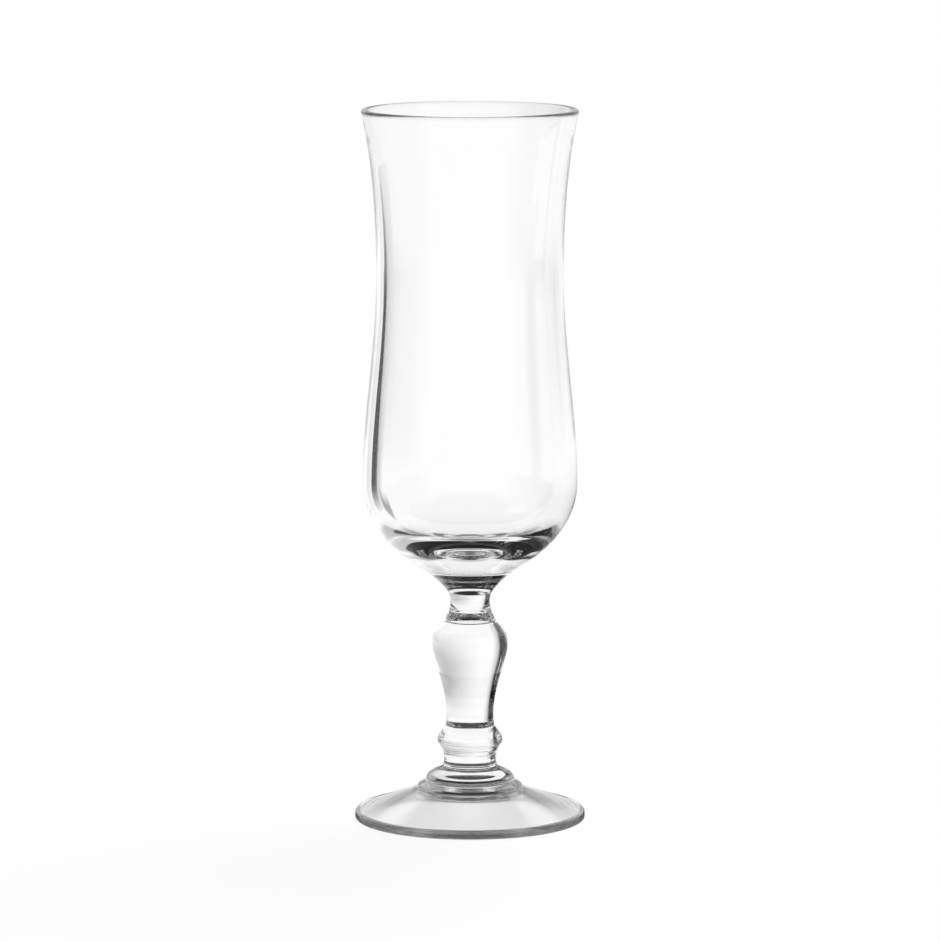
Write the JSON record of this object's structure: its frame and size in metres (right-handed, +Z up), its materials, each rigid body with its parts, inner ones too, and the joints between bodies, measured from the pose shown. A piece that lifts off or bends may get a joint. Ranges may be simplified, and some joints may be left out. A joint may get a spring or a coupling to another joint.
{
  "type": "footed flute goblet",
  "caption": "Tall clear glass goblet of the flute kind, with a waisted bowl, flared rim, thick base, short baluster stem with a ring knop, and a round foot.",
  "frame": {"origin": "on the surface that the goblet stands on, under the middle of the foot", "axes": "+Z up the axis of the goblet, from the foot to the rim; X and Y are alike, because every piece is turned about that axis"},
  "size_m": [0.0566, 0.0566, 0.175],
  "materials": {
    "clear_glass": "clear, colourless and fire polished, with a smooth gloss all over"
  },
  "bodies": {
    "root": {"foot": "clear_glass", "foot_boss": "clear_glass", "stem_collar": "clear_glass", "ring_knop": "clear_glass", "baluster": "clear_glass", "neck_collar": "clear_glass", "bowl": "clear_glass"}
  },
  "joints": []
}
